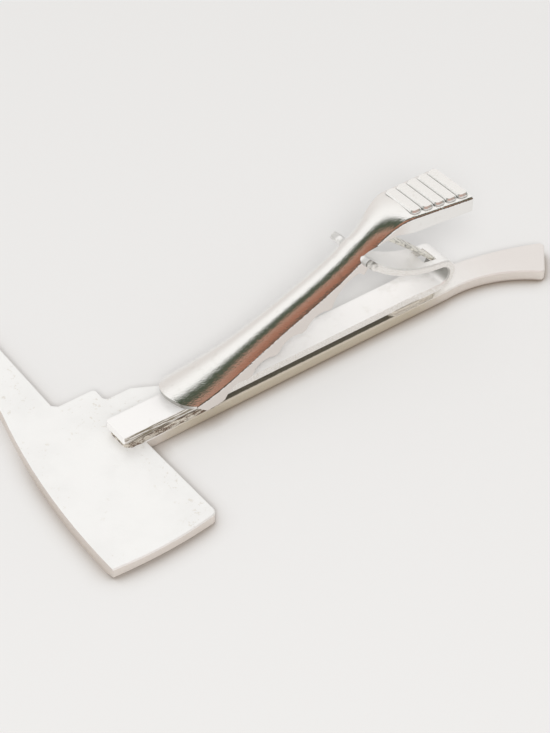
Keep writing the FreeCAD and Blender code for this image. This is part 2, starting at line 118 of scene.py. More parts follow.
class NodeKit:
    """Adds nodes to a tree."""

    def __init__(self, tree):
        self.tree = tree
        tree.nodes.clear()

    def node(self, kind, settings=None, sockets=None, output=0):
        """Add a node with its settings and its sockets' values or links, and give one of its outputs."""
        made = self.tree.nodes.new(kind)
        for name, value in (settings or {}).items():
            setattr(made, name, value)
        for name, value in (sockets or {}).items():
            if isinstance(value, Socket):
                self.tree.links.new(value.socket, made.inputs[name])
            else:
                made.inputs[name].default_value = value
        return Socket(self, made.outputs[output]) if made.outputs else None

    def mix(self, share, first, second):
        """Mix two colours."""
        return self.node("ShaderNodeMix", {"data_type": "RGBA"}, {0: share, 6: first, 7: second}, 2)

    def millimetres(self):
        """Give the piece's own coordinates in millimetres."""
        place = self.node("ShaderNodeTexCoord", output="Object")
        sockets = {0: place, "Scale": 1 / MILLIMETRE}
        return self.node("ShaderNodeVectorMath", {"operation": "SCALE"}, sockets)

    def stretched(self, place, factors):
        """Give coordinates multiplied by a factor along each axis."""
        return self.node("ShaderNodeVectorMath", {"operation": "MULTIPLY"}, {0: place, 1: factors})

    def part_of(self, vector, axis):
        """Give one coordinate of a vector."""
        return self.node("ShaderNodeSeparateXYZ", None, {"Vector": vector}, axis)

    def facing(self, axis):
        """Give one coordinate of the surface's own direction."""
        return self.part_of(self.node("ShaderNodeTexCoord", output="Normal"), axis)

    def noise(self, place, scale, detail=2.0, roughness=0.5):
        """Give a noise pattern of about one lump to 1 / scale."""
        sockets = {"Vector": place, "Scale": scale, "Detail": detail, "Roughness": roughness}
        return self.node("ShaderNodeTexNoise", None, sockets)

    def open_air(self, reach, only_local=False):
        """Give how open the surface is, from 0 in a corner to 1 where nothing is within reach."""
        settings = {"only_local": only_local}
        return self.node("ShaderNodeAmbientOcclusion", settings, {"Distance": reach}, "AO")

    def ray(self, output):
        """Give a fact about the ray that meets the world."""
        return self.node("ShaderNodeLightPath", output=output)

    def bump(self, height, deep, strength):
        """Give the surface's direction over bumps of a depth in millimetres."""
        sockets = {"Strength": strength, "Distance": deep * MILLIMETRE, "Height": height}
        return self.node("ShaderNodeBump", None, sockets)

    def surface(self, sockets):
        """Finish a material's tree with its surface shader."""
        shader = self.node("ShaderNodeBsdfPrincipled", None, sockets)
        self.node("ShaderNodeOutputMaterial", None, {"Surface": shader})


def new_material(name):
    """Start a material and give it with its node kit."""
    material = bpy.data.materials.new(name)
    material.use_nodes = True
    return material, NodeKit(material.node_tree)


def opaque(color, brightness=1.0):
    """Give a colour at a brightness, with its alpha."""
    return tuple(brightness * level for level in color) + (1.0,)


def in_millimetres(length):
    """Give a length of the scene in millimetres."""
    return length / MILLIMETRE


def corners_of(node):
    """Give a node's lowest and highest corners in millimetres."""
    low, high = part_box(node)
    return Vector(low) / MILLIMETRE, Vector(high) / MILLIMETRE


def dress(node, material):
    """Give a piece of the frame a finish."""
    mesh = frame["nodes"][node].data
    mesh.materials.clear()
    mesh.materials.append(material)


def new_piece(name, rings, material):
    """Make a closed mesh of rings of points, smooth round and along, with flat ends."""
    shell = bmesh.new()
    loops = [[shell.verts.new(point) for point in ring] for ring in rings]
    for ring, follower in zip(loops, loops[1:]):
        for place, corner in enumerate(ring):
            face = shell.faces.new((ring[place - 1], corner, follower[place], follower[place - 1]))
            face.smooth = True
    shell.faces.new(loops[0])
    shell.faces.new(loops[-1])
    bmesh.ops.recalc_face_normals(shell, faces=shell.faces)
    mesh = bpy.data.meshes.new(name)
    shell.to_mesh(mesh)
    shell.free()
    mesh.materials.append(material)
    piece = bpy.data.objects.new(name, mesh)
    bpy.context.scene.collection.objects.link(piece)
    return piece


# Kinds of settings
def color_setting(name, description, default):
    """Give a setting for the colour of a surface."""
    return bpy.props.FloatVectorProperty(
        name=name, description=description, default=default, subtype="COLOR", size=3, min=0.0, max=1.0)


def light_setting(name, description, default):
    """Give a setting for the colour of a light, which may be over 1."""
    return bpy.props.FloatVectorProperty(
        name=name, description=description, default=default, subtype="COLOR", size=3, min=0.0)


def share_setting(name, description, default):
    """Give a setting for a share from 0 to 1."""
    return bpy.props.FloatProperty(
        name=name, description=description, default=default, subtype="FACTOR", min=0.0, max=1.0)


def length_setting(name, description, default, least=0.0):
    """Give a setting for a length."""
    return bpy.props.FloatProperty(
        name=name, description=description, default=default, subtype="DISTANCE", unit="LENGTH", min=least)


def along_setting(name, description, default):
    """Give a setting for a place along the clip."""
    return bpy.props.FloatProperty(
        name=name, description=description, default=default, subtype="DISTANCE", unit="LENGTH")


def point_setting(name, description, default):
    """Give a setting for a point."""
    return bpy.props.FloatVectorProperty(
        name=name, description=description, default=default, subtype="TRANSLATION", unit="LENGTH", size=3)


def angle_setting(name, description, degrees):
    """Give a setting for an angle."""
    return bpy.props.FloatProperty(
        name=name, description=description, default=math.radians(degrees), subtype="ANGLE", unit="ROTATION")


# Settings
class CastPlateSettings(bpy.types.PropertyGroup):
    """Finish of the axe-shaped casting."""

    color: color_setting("Colour", "Colour of the silvered faces", (0.955, 0.95, 0.935))
    # The sides' darker colour is partly the rough cast skin and partly painted shade.
    side_and_shade_color: color_setting("Side colour", "Colour of the rough sides", (0.82, 0.765, 0.715))
    # The stain colour also paints shade along the handle's side under the clip and on the face beside the
    # strip.
    stain_and_shade_color: color_setting(
        "Stain colour", "Colour of the handle where the soldering stained it", (0.64, 0.575, 0.465))
    stain_start: along_setting(
        "Stain start", "Place along the handle where the stain starts", 3.0 * MILLIMETRE)
    stain_end: along_setting("Stain end", "Place along the handle where the stain ends", 45.0 * MILLIMETRE)
    tail_color: color_setting(
        "Tail colour", "Colour of the handle's end, where the silver is dull", (0.82, 0.775, 0.745))
    # Under the strip this flux colour also paints the shade in the gap between strip and handle.
    flux_color: color_setting(
        "Flux colour", "Colour of the burnt flux under the strip", (0.09, 0.08, 0.055))
    flux_wide: length_setting("Flux width", "Width of the burnt flux under the strip", 3.5 * MILLIMETRE)
    roughness: share_setting("Roughness", "Roughness of the matte skin", 0.4)


class PlatedSettings(bpy.types.PropertyGroup):
    """Finish of the plated strip and jaw."""

    strip_color: color_setting("Strip colour", "Colour of the strip's plating", (0.955, 0.94, 0.925))
    strip_roughness: share_setting("Strip roughness", "Roughness of the strip's plating", 0.26)
    jaw_color: color_setting("Jaw colour", "Colour of the jaw's plating", (0.9, 0.89, 0.87))
    jaw_roughness: share_setting("Jaw roughness", "Roughness of the polished jaw", 0.08)
    # The wall colour paints shade on the jaw's flat walls.
    shaded_wall_color: color_setting(
        "Wall colour", "Colour of the plating on the jaw's flat walls", (0.805, 0.755, 0.72))
    tarnish_color: color_setting(
        "Tarnish colour", "Colour of the faint smudges on the plating", (0.55, 0.5, 0.42))
    burnt_color: color_setting(
        "Burnt colour", "Colour of the strip's side where the soldering burnt it", (0.26, 0.22, 0.155))
    burnt_end: along_setting(
        "Burnt end", "Place along the strip where the burnt side ends", 12.5 * MILLIMETRE)
    # This colour is worn metal at the hinge, and painted shade inside the fold, in the jaw's grooves and
    # corners and on the nose's cut end.
    wear_and_shade_color: color_setting(
        "Worn colour", "Colour of the bare metal at the hinge, in the fold and in grooves",
        (0.2, 0.195, 0.17))
    worn_reach: length_setting("Worn reach", "Reach of the bare metal about the hinge", 3.2 * MILLIMETRE)
    # Reach of the painted shade in the jaw's grooves and corners.
    groove_shade_reach: length_setting(
        "Groove reach", "Reach of the dirt in the grooves and corners of the jaw", 0.35 * MILLIMETRE)


class SpringLeafSettings(bpy.types.PropertyGroup):
    """Shape and finish of the spring leaf."""

    color: color_setting("Colour", "Colour of the bare spring steel", (0.36, 0.35, 0.32))
    thick: length_setting("Thickness", "Thickness of the leaf", 0.4 * MILLIMETRE)
    bow: length_setting("Bow", "Rise of the leaf's middle over a straight leaf", 0.17 * MILLIMETRE)
    tip_long: length_setting("Tip length", "Length of the rounded tip", 0.9 * MILLIMETRE, SHORTEST)


class SolderSettings(bpy.types.PropertyGroup):
    """Shape and finish of the solder beds."""

    color: color_setting("Colour", "Colour of the solder", (0.78, 0.73, 0.64))
    flux_color: color_setting("Flux colour", "Colour of the burnt flux in the seam", (0.16, 0.11, 0.075))
    flux_end: along_setting(
        "Flux end", "Place along the strip behind which little flux is left", 20.0 * MILLIMETRE)
    flare: share_setting("Flare", "Share by which a bed spreads at its foot and its top", 0.07)
    lumps: length_setting("Lumps", "Height of the lumps along a bed's sides", 0.13 * MILLIMETRE)
    lump_long: length_setting("Lump length", "Length of a lump", 0.8 * MILLIMETRE, SHORTEST)
    end_round: length_setting(
        "End round", "Length over which a bed narrows to its end", 0.8 * MILLIMETRE, SHORTEST)


class StageSettings(bpy.types.PropertyGroup):
    """Camera, light and floor."""

    floor_color: color_setting("Floor colour", "Colour of the pale floor", (0.85, 0.84, 0.83))
    floor_reach: length_setting(
        "Floor reach", "Distance from the middle of the floor to its sides", 0.6, 0.1)
    # This colour paints the contact shadow on the floor beside the clip.
    contact_shadow_color: color_setting(
        "Contact colour", "Colour of the floor right beside the clip", (0.36, 0.305, 0.258))
    contact_shadow_reach: length_setting(
        "Contact reach", "Reach of the dark line beside the clip", 2.6 * MILLIMETRE)
    sky_color: light_setting("Sky colour", "Light that falls from all around", (0.645, 0.641, 0.635))
    window_side: bpy.props.FloatVectorProperty(
        name="Window side", description="Direction of the bright side of the room",
        default=(0.3, 0.95, 0.0), subtype="DIRECTION", size=3)
    window_color: light_setting(
        "Window colour", "Bright side of the room, as polished metal shows it", (1.02, 1.01, 0.995))
    sill_color: light_setting(
        "Sill colour", "Far end of the bright side, as polished metal shows it", (0.8, 0.765, 0.74))
    shade_color: light_setting(
        "Shade colour", "Dark ceiling by the window, as polished metal shows it", (0.085, 0.1, 0.07))
    beam_color: light_setting(
        "Beam colour", "Top of the brown side, as polished metal shows it", (0.46, 0.28, 0.21))
    wood_color: light_setting(
        "Wood colour", "Brown side of the room, as polished metal shows it", (0.375, 0.172, 0.113))
    horizon_color: light_setting(
        "Horizon colour", "Dark foot of the brown side, as polished metal shows it", (0.12, 0.09, 0.07))
    clutter_scale: bpy.props.FloatProperty(
        name="Clutter", description="Fineness of the unevenness of the room", default=7.0, min=0.0)
    key_power: bpy.props.FloatProperty(
        name="Key light", description="Power of the soft light behind the camera", default=15.2,
        subtype="POWER", unit="POWER", min=0.0)
    key_size: length_setting("Key size", "Side of the soft light", 0.6, 0.01)
    key_place: point_setting("Key place", "Place of the soft light", (-0.727, -0.996, 1.111))
    view_azimuth: angle_setting("View azimuth", "Direction of the camera about the upright axis", -126.90)
    view_elevation: angle_setting("View elevation", "Height of the camera as an angle", 41.69)
    view_roll: angle_setting("View roll", "Turn of the camera about its own axis", 0.18)
    view_distance: length_setting("View distance", "Distance from the camera to its target", 0.21555, 0.01)
    view_target: point_setting("View target", "Point that the camera looks at", (0.02098, 0.00084, 0.0))
    focal_pixels: bpy.props.FloatProperty(
        name="Focal length", description="Focal length in pixels of the image", default=2000.0,
        subtype="PIXEL", min=1.0)


class TieClipSettings(bpy.types.PropertyGroup):
    """All the settings of the tie clip."""

    plate: bpy.props.PointerProperty(type=CastPlateSettings)
    plated: bpy.props.PointerProperty(type=PlatedSettings)
    leaf: bpy.props.PointerProperty(type=SpringLeafSettings)
    solder: bpy.props.PointerProperty(type=SolderSettings)
    stage: bpy.props.PointerProperty(type=StageSettings)


# Pieces: a noise holds its scale, detail and roughness, and levels hold where a ramp starts and ends
class TIECLIP_OT_axe_plate(bpy.types.Operator):
    """Finish the axe-shaped casting"""

    bl_idname = "tie_clip.axe_plate"
    bl_label = "Axe plate"

    skin_noise = (3.0, 5.0, 0.6)
    tone_noise = (0.25, 3.0)
    tone_levels = (0.35, 0.75)
    tone_darkest = 0.96
    speck_noise = (6.0, 3.0, 0.7)
    speck_levels = (0.4, 0.6)
    pit_noise = (1.7, 4.0, 0.65)
    pit_levels = (0.59, 0.67)
    pit_field_noise = (0.22,)
    pit_field_levels = (0.48, 0.6)
    pit_stain = 0.35
    pit_deep = 0.6

    # How far a face looks upward or downward. The downward rounding at the foot counts as side, so its
    # darker colour paints shade there.
    upper_levels = (0.35, 0.85)
    shaded_foot_levels = (0.93, 0.99)
    level_levels = (0.5, 0.9)

    # Stain, with painted shade along the handle under the clip and on the face beside the strip: lengths in
    # millimetres, and shares of the places where it starts and ends
    stain_wander = 6.0
    stain_full = 3.0
    stain_fade = 0.8
    tail_full = 1.2
    stain_least = 0.6
    stain_speckle = 0.8
    beside_strip_shade_levels = (2.2, 3.2)
    beside_strip_shade_share = 0.8

    # Flux under the strip, dark enough to paint the shade in the gap beside it: lengths in millimetres,
    # from the middle of the strip and from its two ends
    flux_wander = 0.2
    flux_sides = (0.46, 0.5)
    flux_front = (1.0, 2.0)
    flux_rear = (9.0, 4.0)
    flux_least = 0.9

    # Shader values of the faces, and what the sides and the skin add to them
    metallic = 0.25
    side_metallic = 0.45
    skin_roughness = 0.1
    bump_deep = 0.05
    bump_strength = 0.3

    def execute(self, context):
        settings = context.scene.tie_clip.plate
        material, kit = new_material("cast_silver")
        place = kit.millimetres()
        skin = kit.noise(place, *self.skin_noise)
        speck = kit.noise(place, *self.speck_noise)
        pits = kit.noise(place, *self.pit_noise).ramp(*self.pit_levels)
        pits = pits * kit.noise(place, *self.pit_field_noise).ramp(*self.pit_field_levels)
        upward = kit.facing("Z")
        # Sides take a darker colour: partly the rough cast skin, partly painted shade, which also covers
        # the downward rounding at their foot.
        side = (1 - upward.ramp(*self.upper_levels)) * (1 - (-upward).ramp(*self.shaded_foot_levels))
        flux = self.flux(settings, kit, place, skin) * upward.ramp(*self.level_levels)
        flux = flux * (self.flux_least + (1 - self.flux_least) * speck.ramp(*self.speck_levels))
        color = self.silver(settings, kit, place, side, speck, pits)
        height = skin + side * speck - self.pit_deep * pits
        kit.surface({
            # Flux under the strip, its darkness painted shade in the gap.
            "Base Color": kit.mix(flux, color, opaque(settings.flux_color)),
            "Metallic": (self.metallic + self.side_metallic * side) * (1 - flux),
            "Roughness": settings.roughness + self.skin_roughness * skin,
            "Normal": kit.bump(height, self.bump_deep, self.bump_strength),
        })
        dress("axe_plate", material)
        return {"FINISHED"}

    def silver(self, settings, kit, place, side, speck, pits):
        """Give the colour of faces and sides: stained, with painted shade, on the handle and beside the
        strip, and dull on its tail.
        """
        stain_and_shade_color = opaque(settings.stain_and_shade_color)
        tone = kit.noise(place, *self.tone_noise)
        along = kit.part_of(place, "X") + self.stain_wander * (tone - NOISE_MIDDLE)
        start = in_millimetres(settings.stain_start)
        end = in_millimetres(settings.stain_end)
        # The stain along the handle is partly painted shade under the clip.
        stain = along.ramp(start, self.stain_full * start) * (1 - along.ramp(self.stain_fade * end, end))
        mottled = stain * (self.stain_least + self.stain_speckle * speck)
        side_and_shade_color = kit.mix(mottled, opaque(settings.side_and_shade_color), stain_and_shade_color)
        light, dark = opaque(settings.color), opaque(settings.color, self.tone_darkest)
        color = kit.mix(tone.ramp(*self.tone_levels), light, dark)
        color = kit.mix(self.pit_stain * pits, color, stain_and_shade_color)
        tail = along.ramp(self.stain_fade * end, self.tail_full * end)
        color = kit.mix(tail, color, opaque(settings.tail_color))
        # Painted shade on the face right beside the strip.
        beside = 1 - abs(kit.part_of(place, "Y")).ramp(*self.beside_strip_shade_levels)
        color = kit.mix(self.beside_strip_shade_share * stain * beside, color, stain_and_shade_color)
        # Sides get their darker colour here, partly painted shade.
        return kit.mix(side, color, side_and_shade_color)

    def flux(self, settings, kit, place, skin):
        """Give where burnt flux lies under the strip, dark enough to paint the shade in the gap."""
        low, high = corners_of("clip_strip")
        wide = in_millimetres(settings.flux_wide)
        across = abs(kit.part_of(place, "Y")) + self.flux_wander * (skin - NOISE_MIDDLE)
        along = kit.part_of(place, "X")
        front = along.ramp(*(low.x + inward for inward in self.flux_front))
        rear = along.ramp(*(high.x - inward for inward in self.flux_rear))
        return (1 - across.ramp(*(share * wide for share in self.flux_sides))) * front * (1 - rear)


class TIECLIP_OT_solder_beds(bpy.types.Operator):
    """Make the two lumpy solder beds"""

    bl_idname = "tie_clip.solder_beds"
    bl_label = "Solder beds"

    ring_steps = 7
    station_long = 0.12 * MILLIMETRE
    end_narrowing = 0.3
    sides_apart = 4

    lump_stretch = (0.35, 1.0, 1.6)
    lump_noise = (2.0, 4.0)
    grain_noise = (8.0, 3.0)
    grain_share = 0.3
    flux_levels = (0.42, 0.6)
    flux_fade = 1.5
    flux_left = 0.25

    # Shader values of clean solder, and how far flux changes them
    metallic = 0.5
    flux_metallic = 0.3
    roughness = 0.3
    flux_roughness = 0.35
    bump_deep = 0.12
    bump_strength = 0.6

    def execute(self, context):
        settings = context.scene.tie_clip.solder
        material = self.finish(settings)
        for node in ("front_solder_bed", "rear_solder_bed"):
            bed = new_piece(node.replace("bed", "seam"), self.rings(node, settings), material)
            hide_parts(node)
            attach(bed, "base")
        return {"FINISHED"}

    def rings(self, node, settings):
        """Give a bed's rings, spread at foot and top, lumpy along the sides and narrower at the ends."""
        low, high = (Vector(corner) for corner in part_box(node))
        size = high - low
        steps = round(size.x / self.station_long)
        upward = range(self.ring_steps)
        rings = []
        for station in range(steps + 1):
            along = low.x + size.x * station / steps
            inward = min(along - low.x, high.x - along) / settings.end_round
            plan = 1.0 - self.end_narrowing * max(0.0, 1.0 - inward) ** 2
            ring = []
            for across, order in ((1, upward), (-1, reversed(upward))):
                for step in order:
                    up = step / (self.ring_steps - 1)
                    spread = 1.0 - settings.flare + 2 * settings.flare * (2 * up - 1) ** 2
                    aside = self.sides_apart * across * settings.lump_long
                    spot = Vector((along, aside, size.z * up)) / settings.lump_long
                    half = size.y / 2 * plan * spread + settings.lumps * noise.noise(spot)
                    ring.append((along, across * half, low.z + size.z * up))
            rings.append(ring)
        return rings

    def finish(self, settings):
        """Give the finish of solder with burnt flux in its seams."""
        material, kit = new_material("solder")
        place = kit.millimetres()
        lumps = kit.noise(kit.stretched(place, self.lump_stretch), *self.lump_noise)
        grain = kit.noise(place, *self.grain_noise)
        end = in_millimetres(settings.flux_end)
        front = 1 - kit.part_of(place, "X").ramp(end, self.flux_fade * end)
        flux = (lumps + self.grain_share * (grain - NOISE_MIDDLE)).ramp(*self.flux_levels)
        flux = flux * (self.flux_left + (1 - self.flux_left) * front)
        kit.surface({
            "Base Color": kit.mix(flux, opaque(settings.color), opaque(settings.flux_color)),
            "Metallic": self.metallic - self.flux_metallic * flux,
            "Roughness": self.roughness + self.flux_roughness * flux,
            "Normal": kit.bump(lumps + self.grain_share * grain, self.bump_deep, self.bump_strength),
        })
        return material


class TIECLIP_OT_clip_strip(bpy.types.Operator):
    """Finish the folded strip"""

    bl_idname = "tie_clip.clip_strip"
    bl_label = "Clip strip"

    grain_noise = (3.0, 3.0, 0.6)
    speck_noise = (7.0, 3.0, 0.7)
    speck_levels = (0.3, 0.7)
    smudge_noise = (0.5, 4.0, 0.6)
    smudge_levels = (0.52, 0.75)
    smudge_share = 0.2
    sheared_levels = (0.5, 0.9)
    sheared_share = 0.55

    # Burnt sides: lengths in millimetres, and a share of the place where they end
    burnt_wander = 3.0
    burnt_fade = 0.75
    burnt_stretch = (0.25, 1.0, 4.0)
    burnt_noise = (2.0, 3.0)
    burnt_levels = (0.43, 0.58)

    # Worn hinge, with painted shade on the ears' cut ends: a share of its reach
    worn_full = 0.3
    worn_noise = (1.0, 3.0, 0.5)
    worn_levels = (0.38, 0.62)
    worn_on_top = 0.5

    # Painted shade inside the fold: millimetres from the strip's rear end and under the leaf
    fold_levels = (0.25, 0.9)
    fold_rear = (2.5, 1.5)
    fold_top = (0.6, 0.2)
    fold_shade_share = 0.85

    # Shader values of the faces, and what the grain and the sheared sides add to them
    metallic = 0.12
    sheared_metallic = 0.55
    grain_roughness = 0.08
    sheared_roughness = 0.1
    speck_deep = 0.5
    bump_deep = 0.02
    bump_strength = 0.3

    def execute(self, context):
        settings = context.scene.tie_clip.plated
        material, kit = new_material("plated_strip")
        place = kit.millimetres()
        grain = kit.noise(place, *self.grain_noise)
        speck = kit.noise(place, *self.speck_noise)
        smudge = kit.noise(place, *self.smudge_noise).ramp(*self.smudge_levels)
        sheared = abs(kit.facing("Y")).ramp(*self.sheared_levels)
        grimy = self.sheared_share * sheared * speck.ramp(*self.speck_levels)
        tarnish = self.smudge_share * smudge + grimy
        color = kit.mix(tarnish, opaque(settings.strip_color), opaque(settings.tarnish_color))
        burnt = sheared * self.burnt(settings, kit, place, grain)
        color = kit.mix(burnt, color, opaque(settings.burnt_color))
        # Worn plating at the hinge, partly painted shade on the ears' cut ends.
        worn = self.worn(settings, kit, place) * (self.worn_on_top + (1 - self.worn_on_top) * sheared)
        # Painted shade inside the fold joins the worn patches in the dark colour.
        bare = worn + self.fold_shade_share * self.fold(kit, place)
        roughness = settings.strip_roughness + self.grain_roughness * grain
        height = grain + self.speck_deep * sheared * speck
        kit.surface({
            "Base Color": kit.mix(bare, color, opaque(settings.wear_and_shade_color)),
            "Metallic": self.metallic + self.sheared_metallic * sheared,
            "Roughness": roughness + self.sheared_roughness * sheared,
            "Normal": kit.bump(height, self.bump_deep, self.bump_strength),
        })
        dress("clip_strip", material)
        return {"FINISHED"}

    def burnt(self, settings, kit, place, grain):
        """Give where the soldering burnt the front, in streaks."""
        end = in_millimetres(settings.burnt_end)
        along = kit.part_of(place, "X") + self.burnt_wander * (grain - NOISE_MIDDLE)
        streaks = kit.noise(kit.stretched(place, self.burnt_stretch), *self.burnt_noise)
        return (1 - along.ramp(self.burnt_fade * end, end)) * streaks.ramp(*self.burnt_levels)

    def worn(self, settings, kit, place):
        """Give where the plating is worn off at the hinge, in patches, which also paint shade on the ears'
        cut ends.
        """
        hinge_along, _, hinge_high = frame["record"]["behaviour"]["joints"][0]["pos_m"]
        reach = in_millimetres(settings.worn_reach)
        away_along = abs(kit.part_of(place, "X") - in_millimetres(hinge_along))
        away_high = abs(kit.part_of(place, "Z") - in_millimetres(hinge_high))
        near = 1 - (away_along + away_high).ramp(self.worn_full * reach, reach)
        return near * kit.noise(place, *self.worn_noise).ramp(*self.worn_levels)

    def fold(self, kit, place):
        """Give where shade is painted inside the fold."""
        rear_end = corners_of("clip_strip")[1].x
        leaf_foot = corners_of("spring_tongue")[0].z
        inside = (-kit.facing("X")).ramp(*self.fold_levels)
        rear = kit.part_of(place, "X").ramp(*(rear_end - inward for inward in self.fold_rear))
        top = kit.part_of(place, "Z").ramp(*(leaf_foot - below for below in self.fold_top))
        return inside * rear * (1 - top)


class TIECLIP_OT_spring_leaf(bpy.types.Operator):
    """Make the spring leaf, which bends between the strip and the jaw"""

    bl_idname = "tie_clip.spring_leaf"
    bl_label = "Spring leaf"

    stations = 28
    ring_points = 16
    squareness = 0.4
    tip_narrowing = 0.6

    grain_noise = (1.5, 4.0, 0.6)
    # Painted shade: a lit and a shaded copy of the steel's colour, the shaded one in mottles towards the
    # tip.
    shade_mottle_levels = (0.4, 0.7)
    lit_brightness = 2.3
    shaded_brightness = 0.6
    roughness = 0.25
    grain_roughness = 0.2
    bump_deep = 0.04
    bump_strength = 0.4

    def execute(self, context):
        settings = context.scene.tie_clip.leaf
        low, high = (Vector(corner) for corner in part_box("spring_tongue"))
        foot = Vector((high.x, 0.0, low.z + settings.thick / 2))
        tip = Vector((low.x, 0.0, high.z - settings.thick / 2))
        leaf = new_piece("spring_leaf", self.rings(foot, tip, high.y, settings), self.finish(settings))
        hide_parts("spring_tongue")
        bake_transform(leaf)
        return {"FINISHED"}

    def rings(self, foot, tip, half_wide, settings):
        """Give the rings of a bowed leaf with soft edges and a round tip."""
        run = tip - foot
        rise = Vector((0.0, 1.0, 0.0)).cross(run).normalized()
        rings = []
        for station in range(self.stations + 1):
            share = station / self.stations
            middle = foot + run * share + rise * 4 * settings.bow * share * (1 - share)
            past = max(0.0, 1.0 - (1.0 - share) * run.length / settings.tip_long)
            half = half_wide * math.sqrt(1.0 - self.tip_narrowing * past ** 2)
            ring = []
            for point in range(self.ring_points):
                turn = 2 * math.pi * point / self.ring_points
                across = half * self.squared(math.cos(turn))
                upward = settings.thick / 2 * self.squared(math.sin(turn))
                ring.append(middle + Vector((0.0, across, 0.0)) + rise * upward)
            rings.append(ring)
        return rings

    def squared(self, share):
        """Push a share of a round edge out towards a square one."""
        return math.copysign(abs(share) ** self.squareness, share)

    def finish(self, settings):
        """Give the finish of bare spring steel, with shade painted in dark mottles towards the tip, under
        the jaw's neck.
        """
        material, kit = new_material("spring_steel")
        place = kit.millimetres()
        grain = kit.noise(place, *self.grain_noise)
        low, high = corners_of("spring_tongue")
        foot = kit.part_of(place, "X").ramp((low.x + high.x) / 2, high.x)
        # Painted shade in mottles towards the tip, under the jaw's neck.
        dark = grain.ramp(*self.shade_mottle_levels) * (1 - foot)
        color = kit.mix(dark, opaque(settings.color, self.lit_brightness), opaque(settings.color, self.shaded_brightness))
        kit.surface({
            "Base Color": color,
            "Metallic": 1.0,
            "Roughness": self.roughness + self.grain_roughness * grain,
            "Normal": kit.bump(grain, self.bump_deep, self.bump_strength),
        })
        return material


class TIECLIP_OT_jaw(bpy.types.Operator):
    """Finish the polished jaw"""

    bl_idname = "tie_clip.jaw"
    bl_label = "Jaw"

    grain_noise = (7.0, 1.0, 0.5)
    smudge_noise = (0.6, 4.0, 0.65)
    smudge_levels = (0.58, 0.78)
    smudge_share = 0.35

    # Walls with painted shade, and ends of the pad's ridges: millimetres ahead of the rear end and in from
    # the near side
    shaded_wall_levels = (0.9, 0.98)
    shaded_wall_fade = (7.8, 9.8)
    ends_levels = (0.45, 0.85)
    ends_fade = (7.8, 8.2)
    ends_rim = (0.15, 0.3)
    pad_taper = 0.06

    # Painted shade on the cut end of the nose, in millimetres behind the jaw's front end, and in the
    # grooves and corners
    cut_end_shade_levels = (0.3, 0.6)
    cut_end_shade_fade = (1.5, 2.5)
    cut_end_shade_share = 0.75
    unshaded_levels = (0.35, 0.85)
    painted_shade_share = 0.8

    # What the ends take from the metal, and what is added to its roughness
    ends_metallic = 0.8
    grain_roughness = 0.05
    smudge_roughness = 0.12
    ends_roughness = 0.3
    bump_deep = 0.022
    bump_strength = 1.0

    def execute(self, context):
        settings = context.scene.tie_clip.plated
        material, kit = new_material("plated_jaw")
        place = kit.millimetres()
        low, high = corners_of("jaw")
        along = kit.part_of(place, "X")
        ahead = high.x - along
        grain = kit.noise(place, *self.grain_noise)
        smudge = kit.noise(place, *self.smudge_noise).ramp(*self.smudge_levels)
        tarnish = self.smudge_share * smudge
        color = kit.mix(tarnish, opaque(settings.jaw_color), opaque(settings.tarnish_color))
        roughness = settings.jaw_roughness + self.grain_roughness * grain + self.smudge_roughness * smudge

        # The flat walls before the pad take a darker colour than the rounded crown: painted shade.
        shaded_wall = abs(kit.facing("Y")).ramp(*self.shaded_wall_levels) * ahead.ramp(*self.shaded_wall_fade)
        color = kit.mix(shaded_wall, color, opaque(settings.shaded_wall_color))

        # The ends of the pad's ridges are not polished.
        ends = (1 - kit.facing("Z").ramp(*self.ends_levels)) * (1 - ahead.ramp(*self.ends_fade))
        across = kit.part_of(place, "Y") - self.pad_taper * ahead
        ends = ends * across.ramp(*(low.y + inward for inward in self.ends_rim))

        # Shade is painted into the grooves and corners, and onto the cut end of the nose.
        clean = kit.open_air(settings.groove_shade_reach, only_local=True).ramp(*self.unshaded_levels)
        cut = 1 - along.ramp(*(low.x + behind for behind in self.cut_end_shade_fade))
        cut = cut * (-kit.facing("X")).ramp(*self.cut_end_shade_levels)
        # Painted shade in the grooves and corners and on the nose's cut end.
        bare = 1 - clean * (1 - self.cut_end_shade_share * cut)
        kit.surface({
            "Base Color": kit.mix(self.painted_shade_share * bare, color, opaque(settings.wear_and_shade_color)),
            "Metallic": 1 - self.ends_metallic * ends,
            "Roughness": roughness + self.ends_roughness * ends,
            "Normal": kit.bump(grain, self.bump_deep, self.bump_strength),
        })
        dress("jaw", material)
        return {"FINISHED"}


